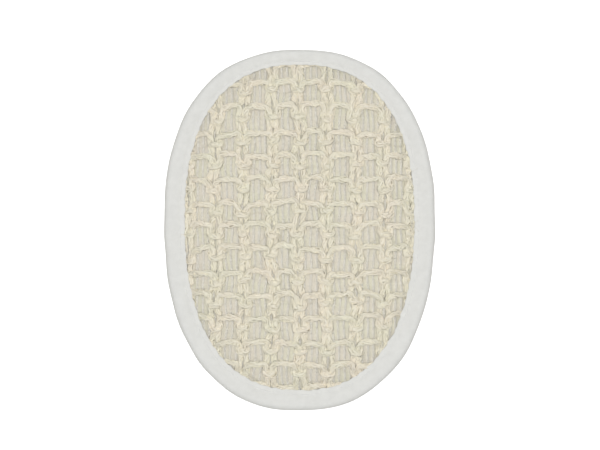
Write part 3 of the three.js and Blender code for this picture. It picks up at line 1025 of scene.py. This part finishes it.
# %% [markdown]
# ## The binding
#
# The rim is bound with a strip of white fabric, folded in half lengthwise over the
# edges of all the layers. Its shape is a profile carried round the oval: along the top
# from the sewn edge, round a tight fold, and back underneath, with the inner face a
# cloth's thickness behind. This cell makes only the profile.

# %% Binding profile
BAND_UNDERSIDE, BAND_TOP_SEAM, BAND_TOP_FOLD, FOLD_DEPTH = 1.0, 5.9, 6.9, 2.4
TAPE_THICKNESS, LIP_POINTS, FOLD_POINTS, HEM_POINTS = 0.55, 15, 17, 6


def folded_profile(skin):
    """Inset and height along the tape, from its top edge to its lower edge.

    The top is a line, the fold is half an ellipse, and the underside is level. A skin is
    the depth inside the tape's face, so one function gives both of its faces.
    """
    inward = np.linspace(BAND_WIDTH, FOLD_DEPTH, LIP_POINTS)
    climb = (BAND_TOP_FOLD - BAND_TOP_SEAM) * np.linspace(0, 1, LIP_POINTS)
    lip = np.stack([inward, BAND_TOP_SEAM + climb - skin], -1)
    around = np.linspace(np.pi / 2, -np.pi / 2, FOLD_POINTS)[1:-1]
    middle = (BAND_UNDERSIDE + BAND_TOP_FOLD) / 2
    rise = (BAND_TOP_FOLD - BAND_UNDERSIDE) / 2
    fold_inset = FOLD_DEPTH - (FOLD_DEPTH - skin) * np.cos(around)
    fold = np.stack([fold_inset, middle + (rise - skin) * np.sin(around)], -1)
    under = np.stack([inward[::-1], np.full(LIP_POINTS, BAND_UNDERSIDE + skin)], -1)
    return np.concatenate([lip, fold, under])


def binding_profile():
    """The whole section: outer face, lower hem, inner face, upper hem.

    Each hem is half a circle of the tape's thickness.
    """
    outer, inner = folded_profile(0.0), folded_profile(TAPE_THICKNESS)[::-1]
    hem = np.linspace(0, np.pi, HEM_POINTS)[1:-1]
    half = TAPE_THICKNESS / 2
    hem_inset, hem_rise = BAND_WIDTH + half * np.sin(hem), -half * np.cos(hem)
    lower = np.stack([hem_inset, BAND_UNDERSIDE + half + hem_rise], -1)
    upper = np.stack([hem_inset, BAND_TOP_SEAM - half + hem_rise], -1)
    return np.concatenate([outer, lower, inner, upper])


section = binding_profile()
print("binding section:", len(section), "points")

# %% [markdown]
# The section is now carried round the oval. A sweep by a modifier would give an even
# tube, but sewn tape isn't even: the stitches draw it in at each needle hole, its edge
# puckers between them, and its outline wavers. So each point's inset and height get
# small shifts that depend on where it is in the section and round the rim.

# %% Binding carried round the rim
STITCH_COUNT, BAND_COLUMNS, SEAM_FROM_EDGE = 92, 736, 1.6
GROOVE_HALF_WIDTH, GROOVE_DEPTH, HOLE_DEPTH = 0.75, 0.16, 0.12
PUCKER_FROM, PUCKER_OVER, PUCKER_WANDER = 4.2, 4.0, 0.8
PUCKER_LIFT, WAVE_LIFT, EDGE_PUCKER, EDGE_WAVE = 0.09, 0.10, 0.16, 0.10
RIM_WAVE, TAPE_OUT, FACE_TURN = 0.10, 0.22, 0.8
band_waves, band_edge_waves = tug_field(61, 19, 8), tug_field(62, 8, 8)


def seam_pull(inset, angle):
    """How far the stitches draw the tape in: a bell across the seam, deepest at the holes."""
    from_seam = inset - (BAND_WIDTH - SEAM_FROM_EDGE)
    groove = np.exp(-((from_seam / GROOVE_HALF_WIDTH) ** 2))
    holes = 0.5 + 0.5 * np.cos(STITCH_COUNT * angle)
    return groove * (GROOVE_DEPTH + HOLE_DEPTH * holes)


def binding_points():
    """The section at every angle: narrowed with the band, pulled, puckered and wavy."""
    angle = (np.arange(BAND_COLUMNS) * TURN / BAND_COLUMNS)[:, None]
    inset, height = section[:, 0][None, :], section[:, 1][None, :]
    rim_x, rim_y = rim_point(angle, 0)
    narrowing = band_width_toward(rim_x, rim_y) / BAND_WIDTH
    middle = (BAND_UNDERSIDE + BAND_TOP_SEAM) / 2
    face_sign = np.tanh((height - middle) / FACE_TURN)
    near_edge = np.clip((inset - PUCKER_FROM) / PUCKER_OVER, 0, 1) ** 2
    edge_waves = band_edge_waves(rim_x, rim_y)
    pucker = np.cos(STITCH_COUNT * angle + PUCKER_WANDER * edge_waves)
    lift = -seam_pull(inset, angle) - PUCKER_LIFT * near_edge * pucker
    slow_waves = WAVE_LIFT * band_waves(rim_x + 2 * inset, rim_y)
    lift = lift + slow_waves * np.clip(inset / 4, 0, 1)
    scallop = near_edge * (EDGE_PUCKER * pucker + EDGE_WAVE * edge_waves)
    breadth = RIM_WAVE * band_waves(rim_y, rim_x) * np.clip(1 - inset / 3, 0, 1)
    x, y = rim_point(angle, (inset + scallop) * narrowing + breadth - TAPE_OUT)
    return np.stack([x, y, height + face_sign * lift], -1)


band_grid = binding_points()
wrapped = np.concatenate([band_grid, band_grid[:1]])
band_rows, band_cols = wrapped.shape[:2]
band_quads = grid_quads(band_rows, band_cols, True) % (BAND_COLUMNS * band_cols)
binding = add_piece("edge_binding_tape", band_grid.reshape(-1, 3), band_quads.tolist(),
                    binding_tape, "binding_fabric", ["edge_binding"])

# %% [markdown]
# The outer fold of the tape gets a painted shade. The shade value is a bell round the
# outermost line of the tape, and the tape's finish turns greyer by it.

# %% Painted fold shade of the binding
FOLD_SHADE_HALF_WIDTH, AROUND_FOLD = 0.8, 8.4

# Painted shade along the outer fold, as a point value for the tape's finish.
painted_fold_shade = np.exp(-((section[:, 0] / FOLD_SHADE_HALF_WIDTH) ** 2))
point_values(binding, "painted_fold_shade", np.tile(painted_fold_shade, BAND_COLUMNS))

# %% [markdown]
# ## The stitches
#
# A lockstitch shows as a row of short straight threads on each face, each going down
# into a needle hole at both ends. Each stitch is a small arch of thread that lies in
# the groove of the tape, and its ends dip below the cloth.

# %% Stitches
STITCH_STEPS, THREAD_SIDES, THREAD_RADIUS = 9, 6, 0.20
STITCH_SHARE, STITCH_SLANT, STITCH_SUNK, STITCH_RISE = 0.94, 0.08, 0.42, 0.50


def stitch_row(surface, up):
    """Centre lines of one face's stitches, along the seam from hole to hole.

    A stitch's height is sunk at its ends and rises by the root of a cosine between them.
    """
    way = np.linspace(-0.5, 0.5, STITCH_STEPS)[None, :]
    number = np.arange(STITCH_COUNT)[:, None]
    angle = (number + 0.5 + way * STITCH_SHARE) * TURN / STITCH_COUNT
    rim_x, rim_y = rim_point(angle, 0)
    narrowing = band_width_toward(rim_x, rim_y) / BAND_WIDTH
    seam = BAND_WIDTH - SEAM_FROM_EDGE
    x, y = rim_point(angle, seam * narrowing - TAPE_OUT + STITCH_SLANT * way)
    rise = np.sqrt(np.clip(np.cos(way * np.pi), 0, 1))
    z = surface + up * (-seam_pull(seam, angle) - STITCH_SUNK + STITCH_RISE * rise)
    lines = np.stack([x, y, z], -1)
    radii = np.full((STITCH_COUNT, STITCH_STEPS), THREAD_RADIUS)
    return lines, radii, radii, np.array([0.0, 0.0, 1.0])


seam_share = (BAND_WIDTH - SEAM_FROM_EDGE - FOLD_DEPTH) / (BAND_WIDTH - FOLD_DEPTH)
seam_top = BAND_TOP_FOLD + (BAND_TOP_SEAM - BAND_TOP_FOLD) * seam_share
for face, surface, up in (("front", seam_top, 1), ("back", BAND_UNDERSIDE, -1)):
    threads = strand_mesh(*stitch_row(surface, up), THREAD_SIDES)
    add_piece("stitches_" + face, *threads, sewing_thread, "seam_thread",
              ["seam_thread_" + face])
